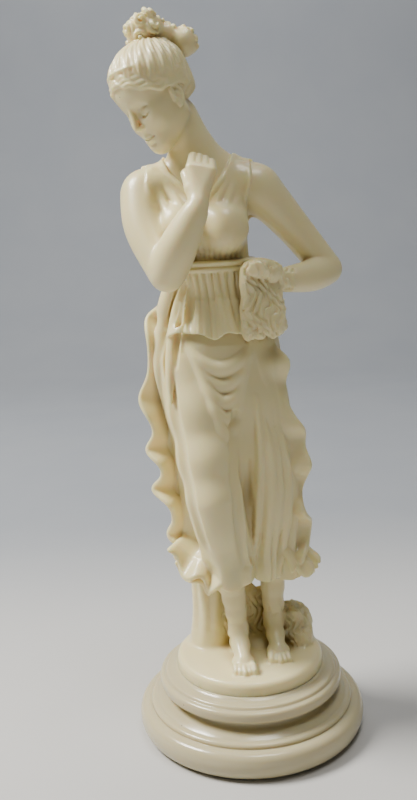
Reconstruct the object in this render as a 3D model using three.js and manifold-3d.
// A draped goddess statuette in cast ivory resin: the figure with its round ground, on a turned plinth.
// Millimetres, +Z up. The figure stands facing -Y, and the origin is the centre of the plinth's underside.
import * as THREE from 'three';
import { mergeVertices } from 'three/addons/utils/BufferGeometryUtils.js';
import Module from 'manifold-3d';

// Plinth, from the underside up: a rounded foot, a bead, a sloping apron, a neck and an upper step.
const footDiameter = 94;
const footUndercut = 4.2;
const footHeight = 11.6;
const beadHeight = 2;
const beadInset = 2.4;
const apronRise = 2;
const neckDiameter = 68;
const neckHeight = 3.8;
const stepDiameter = 75.6;
const stepHeight = 4.6;
const stepBeadHeight = 1.4;
const stepBeadInset = 1.6;
const stepCrown = 1.2;
const rimRound = 1.2;
const lipGap = 0.2;

// Round ground that is cast with the figure and stands on the plinth.
const groundDiameter = 60.2;
const groundThickness = 5.6;
const groundEdge = 1.3;

// The figure's height from the ground to the top of the hair. Its pose and carving are shares of it:
// the numbers below are written for a figure of drawnHeight, and scaled to figureHeight.
const figureHeight = 250.6;
const drawnHeight = 250.6;
const clothThickness = 0.9;

const plinthHeight =
  footHeight + beadHeight + apronRise + neckHeight + stepHeight + stepBeadHeight + stepCrown;
const groundTop = plinthHeight + groundThickness;
const figureScale = figureHeight / drawnHeight;

const wasm = await Module();
wasm.setup();

// Distance fields: a form is a function of (x, y, z) that is negative inside it.

const lerp = THREE.MathUtils.lerp;
const clamp = THREE.MathUtils.clamp;
const radians = THREE.MathUtils.degToRad;

function blob([cx, cy, cz], [rx, ry, rz]) {
  return (x, y, z) => {
    const [u, v, w] = [(x - cx) / rx, (y - cy) / ry, (z - cz) / rz];
    const near = Math.hypot(u, v, w);
    const slope = Math.hypot(u / rx, v / ry, w / rz);
    return slope === 0 ? -Math.min(rx, ry, rz) : (near * (near - 1)) / slope;
  };
}

function taper(a, b) {
  const along = [b[0] - a[0], b[1] - a[1], b[2] - a[2]];
  const length2 = along[0] ** 2 + along[1] ** 2 + along[2] ** 2;
  return (x, y, z) => {
    const [u, v, w] = [x - a[0], y - a[1], z - a[2]];
    const t = clamp((u * along[0] + v * along[1] + w * along[2]) / length2, 0, 1);
    return Math.hypot(u - along[0] * t, v - along[1] * t, w - along[2] * t) - lerp(a[3], b[3], t);
  };
}

// Smooth union: forms melt into each other over about the given width.
function melt(width, ...forms) {
  return (x, y, z) => {
    let d = forms[0](x, y, z);
    for (let i = 1; i < forms.length; i += 1) {
      const e = forms[i](x, y, z);
      const h = Math.max(width - Math.abs(d - e), 0) / width;
      d = Math.min(d, e) - (h * h * width) / 4;
    }
    return d;
  };
}

// A chain of tapers through stations [x, y, z, radius].
function chain(stations, width = 2) {
  const links = stations.slice(1).map((station, i) => taper(stations[i], station));
  return melt(width, ...links);
}

const grown = (form, by) => (x, y, z) => form(x, y, z) - by;

// An upright body of elliptical slices [height, centre x, centre y, half width, half depth].
function slices(list) {
  return (x, y, z) => {
    const last = list.length - 1;
    let i = 0;
    while (i < last - 1 && z > list[i + 1][0]) i += 1;
    const t = clamp((z - list[i][0]) / (list[i + 1][0] - list[i][0]), 0, 1);
    const [, cx, cy, rx, ry] = list[i].map((value, k) => lerp(value, list[i + 1][k], t));
    const side = (Math.hypot((x - cx) / rx, (y - cy) / ry) - 1) * Math.min(rx, ry);
    return Math.max(side, list[0][0] - z, z - list[last][0]);
  };
}

// The body under the dress. Her right is the viewer's left, towards -X.

const hips = {
  right: [-18.5, 1, 122, 12],
  left: [1.5, 4, 122, 12.5],
};
const knees = {
  right: [-12, -14, 71, 9],
  left: [9.5, -1, 72, 8.4],
};
const calves = {
  right: [-8, -9, 47, 7],
  left: [11, 3, 47, 7],
};
const ankles = {
  right: [-4.5, -6, 13, 3.9],
  left: [10.5, 1.5, 13, 4],
};
const shoulders = {
  right: [-33.5, 2, 187, 7.9],
  left: [10, 3.5, 187, 7.6],
};
const neckBase = [-11.5, 4.5, 197, 7.2];
const neckTop = [-19, 1, 214, 6.6];

const leg = (side) => chain([hips[side], knees[side], calves[side], ankles[side]], 5);
const shoulderBall = ([x, y, z, radius]) => blob([x, y, z], [radius, radius, radius]);

const torso = melt(
  7,
  blob([-11.5, 3.5, 177], [16.5, 12, 19]),
  blob([-8.5, 3.5, 155], [13.5, 10.5, 17]),
  blob([-6, 4, 131], [19, 13.5, 17]),
  blob([-14, 10, 123], [10, 9, 11]),
  blob([2, 10, 125], [10, 9, 11]),
);
const bust = melt(3, blob([-20, -7, 174], [8, 7.5, 8.2]), blob([-3.5, -7.5, 173.5], [8, 7.5, 8.2]));
const girdle = melt(
  5,
  taper([-30, 3, 188, 7], [-12, 5, 190, 7.5]),
  taper([8, 4, 188, 7], [-12, 5, 190, 7.5]),
  taper(neckBase, neckTop),
  taper([-24, 4, 191, 5], [-15, 3, 202, 5.2]),
  taper([4, 5, 191, 5], [-12, 4, 201, 5]),
  shoulderBall(shoulders.right),
  shoulderBall(shoulders.left),
);
const upperBody = melt(4, melt(6, torso, girdle), bust);

// The dress: cloth over the body and legs, a front panel between the legs, and a mantle behind.

const hemHeight = 36;
const frontPanel = slices([
  [30, 3, 0, 13, 6.5],
  [60, 2, 0, 15, 7.5],
  [88, 0, 0.5, 17, 9],
  [110, -3.5, 1, 18.5, 11.5],
  [130, -6, 1, 18, 12],
  [142, -6.5, 3, 13, 9],
]);
const mantle = slices([
  [30, -3.5, 8, 22, 12],
  [60, -4.5, 8, 24, 13],
  [88, -5.5, 7.5, 25.5, 13.5],
  [116, -9.5, 6.5, 23.5, 13.5],
  [134, -12, 6, 19, 12],
  [147, -12.5, 5, 16, 10],
  [156, -12, 4, 11, 8],
]);
const covered = grown(melt(5, upperBody, leg('right'), leg('left'), frontPanel), clothThickness);
const dressed = melt(4, covered, mantle);

// The middle line of the standing figure, which surfaces are found from: [height, x, y].
const middleLine = [
  [0, 0, 3],
  [70, -1, 3],
  [120, -4, 4],
  [157, -8.5, 4],
  [182, -11.5, 4],
];

function middleAt(height) {
  let i = 0;
  while (i < middleLine.length - 2 && height > middleLine[i + 1][0]) i += 1;
  const [low, high] = [middleLine[i], middleLine[i + 1]];
  const t = clamp((height - low[0]) / (high[0] - low[0]), 0, 1);
  return [lerp(low[1], high[1], t), lerp(low[2], high[2], t)];
}

// The outermost point of a form on the ray that leaves start along direction.
function outermost(form, start, direction, reach = 60) {
  let far = reach;
  while (far > 0.5) {
    const point = start.map((value, k) => value + direction[k] * far);
    const gap = form(...point);
    if (gap < 0.02) return point;
    far -= Math.max(gap * 0.6, 0.03);
  }
  return start.map((value, k) => value + direction[k] * 0.5);
}

// A point on the dress at an angle from the front, positive to the viewer's right, in degrees.
function onForm(form, angle, height) {
  const [x, y] = middleAt(height);
  return outermost(form, [x, y, height], [Math.sin(radians(angle)), -Math.cos(radians(angle)), 0]);
}

// Closed meshes: three.js geometries whose vertices are moved to the carved surface.

function mapped(geometry, place) {
  const position = geometry.attributes.position;
  for (let i = 0; i < position.count; i += 1) {
    position.setXYZ(i, ...place(position.getX(i), position.getY(i), position.getZ(i)));
  }
  return geometry;
}

// A sleeve round the figure from lowAt(angle) to highAt(angle), finer in front than behind.
// Its columns stand in and out in turn by pleatDepth(angle, height), which makes upright pleats.
function sleeve(form, lowAt, highAt, around, rows, pleatDepth = () => 0) {
  const grid = new THREE.CylinderGeometry(1, 1, 1, around, rows);
  const frontDensity = 0.3;
  return mapped(grid, (x, y, z) => {
    const even = Math.atan2(x, z);
    const angle = THREE.MathUtils.radToDeg(even - frontDensity * Math.sin(even));
    const height = lerp(lowAt(angle), highAt(angle), y + 0.5);
    if (Math.hypot(x, z) < 0.5) return [...middleAt(height), height];
    const column = Math.round((even * around) / (2 * Math.PI));
    const depth = pleatDepth(angle, height) * (column % 2 === 0 ? 0 : 1);
    return onForm(depth === 0 ? form : grown(form, depth), angle, height);
  });
}

// A ball pushed out from a centre to a form.
function pushedBall(form, centre, around, rows) {
  const grid = new THREE.SphereGeometry(1, around, rows).rotateX(Math.PI / 2);
  return mapped(grid, (x, y, z) => outermost(form, centre, [x, y, z]));
}

const ellipsoid = ([x, y, z], [rx, ry, rz], around = 10, rows = 7) =>
  new THREE.SphereGeometry(1, around, rows).rotateX(Math.PI / 2).scale(rx, ry, rz).translate(x, y, z);

// A capsule bent along stations [x, y, z, radius], flattened by flat along its second cross axis.
function bentCapsule(stations, sides = 8, rows = 6, flat = 1) {
  const line = new THREE.CatmullRomCurve3(stations.map(([x, y, z]) => new THREE.Vector3(x, y, z)));
  const radiusAt = (t) => {
    const at = t * (stations.length - 1);
    const i = Math.min(Math.floor(at), stations.length - 2);
    return lerp(stations[i][3], stations[i + 1][3], at - i);
  };
  const across = [];
  let side = new THREE.Vector3(0, -1, 0.2);
  for (let row = 0; row <= rows; row += 1) {
    const tangent = line.getTangent(row / rows);
    side = side.clone().addScaledVector(tangent, -side.dot(tangent)).normalize();
    across.push({ tangent, side, other: new THREE.Vector3().crossVectors(side, tangent) });
  }
  const capsule = new THREE.CapsuleGeometry(1, rows, 1, sides, rows);
  return mapped(capsule, (x, y, z) => {
    const row = clamp(Math.round(y + rows / 2), 0, rows);
    const beyond = Math.abs(y) > rows / 2 ? y - Math.sign(y) * (rows / 2) : 0;
    const radius = radiusAt(row / rows);
    const { tangent, side: first, other } = across[row];
    return line
      .getPoint(row / rows)
      .addScaledVector(tangent, beyond * radius)
      .addScaledVector(first, x * radius * flat)
      .addScaledVector(other, z * radius)
      .toArray();
  });
}

// A wavy edge of cloth between an inner and an outer line, as a thin closed band.
function ruffle(inner, outer, waves, swing, thickness) {
  const [root, rim] = [inner, outer].map(
    (points) => new THREE.CatmullRomCurve3(points.map((p) => new THREE.Vector3(...p))),
  );
  const rows = waves * 4;
  const band = new THREE.BoxGeometry(rows, 1, 1, rows, 1, 1);
  return mapped(band, (x, y, z) => {
    const t = x / rows + 0.5;
    const wave = Math.sin(2 * Math.PI * waves * t);
    const reach = y + 0.5;
    const along = rim.getTangent(t);
    const outward = rim.getPoint(t).sub(root.getPoint(t));
    const facing = Math.sign(along.z * outward.x - along.x * outward.z);
    const point = root.getPoint(t).lerp(rim.getPoint(t), reach);
    point.x += 0.35 * swing * wave * reach * Math.sign(outward.x);
    point.y += swing * wave * reach + z * thickness * facing;
    return point.toArray();
  });
}

// Solids: closed meshes joined with manifold-3d.

function solidOf(geometry) {
  geometry.deleteAttribute('normal');
  geometry.deleteAttribute('uv');
  const merged = mergeVertices(geometry, 1e-3);
  return new wasm.Manifold(new wasm.Mesh({
    numProp: 3,
    vertProperties: merged.attributes.position.array,
    triVerts: new Uint32Array(merged.index.array),
  }));
}

function geometryOf(solid) {
  const { vertProperties, triVerts } = solid.getMesh();
  const geometry = new THREE.BufferGeometry();
  geometry.setAttribute('position', new THREE.BufferAttribute(vertProperties, 3));
  geometry.setIndex(new THREE.BufferAttribute(triVerts, 1));
  return geometry;
}

const joined = (geometries) =>
  geometries.map(solidOf).reduce((whole, next) => whole.add(next));

// A casting is solid: pockets that are closed in between the joined pieces are filled.
const castSolid = (solid) =>
  solid.decompose().filter((body) => body.volume() > 0).reduce((whole, next) => whole.add(next));

// A fold is a rounded ridge laid on a form through places [angle, height], thin at both ends.
// It is melted into the form as a field, or, where it is sharp, joined to it as a tube.
function foldStations(form, places, radius, sunk = 0.5) {
  const points = places.map(([angle, height]) => onForm(grown(form, -radius * sunk), angle, height));
  const last = points.length - 1;
  return points.map((p, i) => [...p, radius * (0.35 + 0.65 * Math.sin((Math.PI * i) / last))]);
}

const fold = (...settings) => chain(foldStations(...settings), 1);
const foldTube = (...settings) => bentCapsule(foldStations(...settings), 6, 5);

// Bodice, belt, overfold and skirt. Hem heights are for an angle from the front, in degrees.

const belt = { low: 157.5, high: 161.5, proud: 1 };
const overfoldThickness = 2;
const overfoldHem = (angle) => 135.5 + 1.2 * Math.sin(radians(angle * 7)) - 1.5 * Math.cos(radians(angle));
const bodyHem = (angle) =>
  hemHeight + 1.5 * Math.sin(radians(angle * 3 + 40)) - 4 * Math.cos(radians(angle - 20));

const swags = {
  count: 4, highest: 119, apart: 8.5, centre: -12, span: 88, narrowing: 15, radius: 2.3, sunk: 0.15,
};

function swagFolds() {
  const folds = [];
  for (let i = 0; i < swags.count; i += 1) {
    const low = swags.highest - swags.apart * i;
    const span = (swags.span - swags.narrowing * i) / 2;
    const places = [[-1, 13], [-0.5, 3.5], [0, 0], [0.5, 3.5], [1, 13]].map(
      ([across, above]) => [swags.centre + across * span, low + above]);
    folds.push(foldTube(dressed, places, swags.radius, swags.sunk));
  }
  return folds;
}

// Upright pleats: deep behind, shallower over the standing leg, none over the free leg.
const pleats = { back: 1.6, side: 1.1, overfold: 1.1 };

function skirtPleats(angle, height) {
  if (Math.abs(angle) > 90) return pleats.back;
  const standingSide = angle > 24 ? pleats.side * clamp((112 - height) / 30, 0, 1) : 0;
  const freeSide = angle < -56 ? pleats.side : 0;
  return standingSide + freeSide;
}

const overfoldSurface = grown(covered, overfoldThickness);
const overfoldPleats = (angle, height) => pleats.overfold * clamp((belt.low + 1 - height) / 12, 0.25, 1);

// The bodice's neckline is a V: a rolled edge from each shoulder to its bottom, [angle, height].
const neckline = { bottom: [-8, 181], right: [-27, 192], left: [30, 194], radius: 1 };
const bodicePleats = [[38, 28], [-40, -28]];

function bodiceForm() {
  const folds = bodicePleats.map(([top, low]) =>
    fold(upperBody, [[top, 188], [(top + low) / 2, 178], [low, 163]], 1.4));
  for (const end of [neckline.right, neckline.left]) {
    const middle = end.map((value, k) => (value + neckline.bottom[k]) / 2);
    folds.push(fold(upperBody, [neckline.bottom, middle, end], neckline.radius));
  }
  return melt(1, upperBody, ...folds);
}

function dress() {
  return [
    sleeve(dressed, bodyHem, () => 142, 36, 13, skirtPleats),
    sleeve(overfoldSurface, overfoldHem, () => belt.low + 0.5, 28, 3, overfoldPleats),
    sleeve(grown(covered, overfoldThickness + belt.proud), () => belt.low, () => belt.high, 20, 1),
    pushedBall(bodiceForm(), [-10.5, 3.5, 178], 16, 11),
    ...swagFolds(),
  ];
}

function cascades() {
  return [
    ruffle(
      [[-20, 7, 150], [-25, 6, 128], [-26, 6, 106], [-25, 6, 84], [-23, 6, 62], [-19, 6, 46]],
      [[-27, 3, 151], [-35, 1, 134], [-39, 0, 114], [-35.5, -1, 90], [-32, -1, 66], [-27, 0, 48]],
      5, 2.8, 2.6,
    ),
    ruffle(
      [[4, -8, 131], [9, -7, 116], [12, -5, 100], [14, -3, 84], [15, -1, 66], [16, 1, 48], [15, 1, 38]],
      [[14, -2, 132], [17, -4, 115], [20, -5, 100], [25.5, -4, 86], [23, -4, 66], [26, -3, 48], [20, -3, 36]],
      5, 2.6, 2.6,
    ),
    ruffle(
      [[-24, 2, 50], [-18, -1, 47], [-12, -4, 45], [-7, -6, 42]],
      [[-30, -3, 43], [-22, -9, 38], [-14, -12, 35], [-6, -13, 33]],
      3, 2, 3,
    ),
    ruffle(
      [[14, -3, 50], [19, 0, 46], [22, 5, 44]],
      [[17, -8, 38], [25, -5, 36], [27, 3, 37]],
      2, 1.8, 2.6,
    ),
  ];
}

// Arms and hands.

const elbows = {
  right: [-25.5, -17, 158, 5.9],
  left: [37, 14, 155, 5.3],
};
const wrists = {
  right: [-13, -25, 182, 3.5],
  left: [17, -5, 153, 3.7],
};

function arms() {
  const rightUpper = [shoulders.right, [-33, -6, 174, 6.9], elbows.right];
  const rightFore = [elbows.right, [-20.5, -21.8, 168.5, 5.9], wrists.right];
  const leftUpper = [shoulders.left, [23, 9, 172.5, 5.8], elbows.left];
  const leftFore = [elbows.left, [28, 4, 153.5, 5], wrists.left];
  return [rightUpper, rightFore, leftUpper, leftFore].map((stations) => bentCapsule(stations, 8, 3));
}

// A hand: a flattened palm, and four bent fingers and a thumb. Its lines run from the first finger
// to the last: knuckles, middle joints and tips.
function hand(wrist, palm, lines, thumb) {
  const fingers = 4;
  const pieces = [bentCapsule([[...wrist, 3.3], [...palm, 4.3]], 7, 1, 0.75)];
  for (let i = 0; i < fingers; i += 1) {
    const [knuckle, joint, tip] = lines.map(([a, b]) =>
      a.map((value, k) => lerp(value, b[k], i / (fingers - 1))));
    pieces.push(bentCapsule([[...knuckle, 1.8], [...joint, 1.6], [...tip, 1.2]], 5, 3));
  }
  pieces.push(bentCapsule([[...palm, 2.2], [...thumb[0], 1.8], [...thumb[1], 1.3]], 5, 2));
  return pieces;
}

function hands() {
  const right = hand(
    wrists.right.slice(0, 3), [-11.4, -20.8, 192.4],
    [[[-15, -20.8, 195], [-7.8, -20, 193.5]], [[-14.2, -14.6, 199], [-7.6, -14.4, 197]],
      [[-12.2, -9.8, 196], [-7.6, -10.2, 194]]],
    [[-17, -17, 193], [-15, -12.5, 196]],
  );
  const left = hand(
    wrists.left.slice(0, 3), [12.5, -7.5, 151],
    [[[9.5, -9, 154.5], [11, -9.6, 148]], [[6, -10.6, 155], [8, -11.4, 147]],
      [[2.5, -10.6, 153], [5, -11.4, 145.5]]],
    [[13, -6, 155], [8, -9.5, 159]],
  );
  return [...right, ...left];
}

// Cloth gathered over the hand at the hip: pipes of fabric that hang to a stepped hem.
function gatheredCloth() {
  const pieces = [bentCapsule([[5, -11, 158, 3], [11, -9, 156, 4.4]], 8, 2)];
  const pipes = 4;
  const step = 2.4;
  for (let i = 0; i < pipes; i += 1) {
    const top = [4.5 + 2.2 * i, -12 + i, 156, 2.2];
    const middle = [3.8 + 3.4 * i, -13.5 + 1.3 * i, 144, 2.3];
    const hem = [4.6 + 3.4 * i, -14 + 1.6 * i, 131 + step * ((i * 2) % 3), 3];
    pieces.push(bentCapsule([top, middle, hem], 6, 3));
  }
  return pieces;
}

// Head, turned to the figure's right and bowed. Its own frame has the face towards -Y and the crown up.

const headCentre = [-27, -4.5, 223];
const headScale = 1.06;
const headTurn = new THREE.Euler(radians(30), radians(-13), radians(-50), 'ZXY');
const headMatrix = new THREE.Matrix4()
  .makeRotationFromEuler(headTurn)
  .scale(new THREE.Vector3(headScale, headScale, headScale))
  .setPosition(...headCentre);

const face = melt(
  2.5,
  blob([0, 0, 3.5], [11.8, 13.8, 12]),
  blob([0, -3.6, -6.5], [9.8, 9.6, 12]),
  taper([0, -9.4, -15.6, 3.3], [0, -8.8, -14.6, 3.6]),
);
const nose = melt(0.8, taper([0, -12.6, 0, 1], [0, -15.2, -6.4, 1.5]), blob([0, -13.6, -7], [2.3, 1.6, 1.3]));
const mouth = melt(0.6, blob([0, -12.8, -10.4], [2.7, 1.1, 0.7]), blob([0, -12.4, -11.7], [2.2, 1.1, 0.8]));
const headForm = melt(1.2, face, nose, mouth);
const hairForm = melt(3, blob([0, 0.6, 4.6], [13.2, 15.4, 12.6]), blob([0, 4.5, -4], [11.5, 11, 8]));

function head() {
  const skull = pushedBall(headForm, [0, -2, -2], 12, 10);
  const cap = pushedBall(hairForm, [0, 3, 3], 12, 7);
  const ridge = bentCapsule([[0, -12.4, -1, 1.1], [0, -14.6, -6, 1.8]], 5, 1);
  const pieces = [skull, cap, ridge];
  for (const side of [-1, 1]) {
    const temple = [side * 8, -10.5, 5.5, 2.4];
    const overEar = [side * 12, -3.5, 0, 2.4];
    const nape = [side * 9.5, 7, -8, 2];
    pieces.push(bentCapsule([[0, -12.2, 9, 2], temple, overEar, nape], 6, 5));
    pieces.push(ellipsoid([side * 11.2, -0.9, -4.8], [1.6, 2.4, 3.6], 6, 5));
  }
  pieces.push(...curls());
  return pieces.map((geometry) => geometry.applyMatrix4(headMatrix));
}

// Hair gathered high on the crown: a knot of curls round a middle lobe, and one that falls to the side.
function curls() {
  const lobe = ellipsoid([0, 10, 17.8], [6.4, 6.4, 5.8], 8, 5);
  const fallen = ellipsoid([4, 18, 7.5], [5.6, 5.4, 5.6], 8, 5);
  const link = ellipsoid([2, 15.5, 12.8], [4.4, 4.2, 4.2], 6, 4);
  const pieces = [lobe, fallen, link];
  const count = 5;
  const ring = 4.6;
  for (let i = 0; i < count; i += 1) {
    const a = (2 * Math.PI * i) / count;
    const centre = [ring * Math.cos(a), 10 + ring * Math.sin(a), 18.4 + 1.6 * Math.cos(2 * a)];
    pieces.push(ellipsoid(centre, [3.1, 3.1, 3.5], 6, 4));
  }
  return pieces;
}

// Lower legs, feet, trunk and rock, all standing on the ground.

function foot(ankle, heel, ball, toes) {
  const archRise = 1.5;
  const arch = [(heel[0] + ball[0]) / 2, (heel[1] + ball[1]) / 2, (heel[2] + ball[2]) / 2 + archRise];
  const pieces = [
    bentCapsule([[...ankle, 3.9], [...heel, 4.2]], 7, 1),
    bentCapsule([[...heel, 4.1], [...arch, 4.1], [...ball, 3.3]], 8, 4),
  ];
  const toeCount = 5;
  const halfSpan = 3.4;
  const roundness = 0.35;
  for (let i = 0; i < toeCount; i += 1) {
    const across = lerp(-halfSpan, halfSpan, i / (toeCount - 1));
    const tip = [toes[0] + across, toes[1] + roundness * Math.abs(across), toes[2]];
    pieces.push(bentCapsule([[ball[0] + across * 0.8, ball[1], ball[2] - 0.6, 1.7], [...tip, 1.25]], 4, 1));
  }
  return pieces;
}

function lowerLegs() {
  const pieces = ['right', 'left'].map((side) =>
    bentCapsule([knees[side].with(3, 6), calves[side].with(3, 6), ankles[side]], 8, 4));
  pieces.push(...foot([-4.5, -6, 13], [-4.5, -3, 4], [-3.2, -18, 3.3], [-2.8, -24, 1.6]));
  pieces.push(...foot([10.5, 1.5, 13], [10.5, 5, 4], [11.5, -9.5, 3.3], [12, -15.5, 1.6]));
  return pieces;
}

function trunk() {
  const stations = [[-15.5, 8, -1.5, 9], [-15.5, 8, 6, 7.4], [-15, 8, 24, 6.8], [-14, 8, 40, 7]];
  const pieces = [bentCapsule(stations, 8, 4)];
  const ridges = { count: 3, first: -70, apart: 55, out: 6 };
  for (let i = 0; i < ridges.count; i += 1) {
    const turn = radians(ridges.first + ridges.apart * i);
    const x = stations[0][0] + ridges.out * Math.sin(turn);
    const y = stations[0][1] - ridges.out * Math.cos(turn);
    pieces.push(bentCapsule([[x, y, 0, 2.2], [x + 0.5, y, 20, 1.7], [x, y, 38, 1.8]], 5, 2));
  }
  return pieces;
}

function rock() {
  return [ellipsoid([19, 8, 5], [8.5, 7.5, 11], 8, 5), ellipsoid([21.5, 3, 2], [5.5, 6, 6], 7, 4)];
}

// Ground and plinth are turned: a profile of [radius, height] about the upright axis.

const turningSides = 32;

function turned(profile, segments) {
  const points = profile.map(([radius, height]) => new THREE.Vector2(radius, height));
  return new THREE.LatheGeometry(points, segments).rotateX(Math.PI / 2);
}

// Points of a quarter round from one [radius, height] to another, bulging towards the given corner.
function rounded([r0, z0], [rc, zc], [r1, z1], steps) {
  const curve = new THREE.QuadraticBezierCurve(
    new THREE.Vector2(r0, z0), new THREE.Vector2(rc, zc), new THREE.Vector2(r1, z1));
  return curve.getPoints(steps).map((p) => [p.x, p.y]);
}

function ground() {
  const radius = groundDiameter / 2;
  return turned([
    [0, plinthHeight],
    [radius, plinthHeight],
    ...rounded([radius, groundTop - groundEdge], [radius, groundTop], [radius - groundEdge, groundTop], 2),
    [0, groundTop],
  ], turningSides);
}

function plinth() {
  const foot = footDiameter / 2;
  const step = stepDiameter / 2;
  const neck = neckDiameter / 2;
  const bead = footHeight + beadHeight;
  const apron = bead + apronRise;
  const under = apron + neckHeight;
  const stepTop = under + stepHeight;
  const beadTop = stepTop + stepBeadHeight;
  const beadRadius = foot - beadInset;
  const bellyLow = footHeight * 0.6;
  const bellyHigh = footHeight * 0.75;
  const stepBead = step - stepBeadInset;
  return turned([
    [0, 0],
    ...rounded([foot - footUndercut, 0], [foot, rimRound], [foot, bellyLow], 2),
    ...rounded([foot, bellyHigh], [foot, footHeight], [beadRadius + 3 * lipGap, footHeight], 2),
    ...rounded([beadRadius, footHeight + lipGap], [beadRadius, bead], [beadRadius - rimRound, bead], 1),
    [neck + 2 * rimRound, apron],
    [neck, apron + rimRound],
    ...rounded([neck, under - rimRound], [neck, under], [step - rimRound, under], 1),
    [step, under + rimRound],
    ...rounded([step, stepTop - rimRound], [step, stepTop], [stepBead, stepTop], 1),
    [stepBead, stepTop + lipGap],
    [stepBead - rimRound, beadTop],
    [groundDiameter / 2 + rimRound, plinthHeight],
    [0, plinthHeight],
  ], turningSides);
}

const resin = (name) =>
  new THREE.MeshStandardMaterial({ name, color: 0xe3d9b8, roughness: 0.35, metalness: 0 });

function figure() {
  const carving = [
    ...dress(), ...cascades(), ...arms(), ...hands(), ...gatheredCloth(),
    ...head(), bentCapsule([neckBase, neckTop], 10, 3), ...lowerLegs(), ...trunk(), ...rock(),
  ];
  for (const geometry of carving) {
    geometry.scale(figureScale, figureScale, figureScale).translate(0, 0, groundTop);
  }
  const base = solidOf(ground());
  const slab = joined(carving);
  const below = solidOf(
    new THREE.BoxGeometry(footDiameter, footDiameter, plinthHeight).translate(0, 0, plinthHeight / 2));
  return geometryOf(castSolid(base.add(slab).subtract(below)));
}

const statuette = new THREE.Group();
const figureMesh = new THREE.Mesh(figure(), resin('figure_resin'));
figureMesh.name = 'figure';
const plinthMesh = new THREE.Mesh(plinth(), resin('plinth_resin'));
plinthMesh.name = 'plinth';
statuette.add(figureMesh, plinthMesh);

export default statuette;
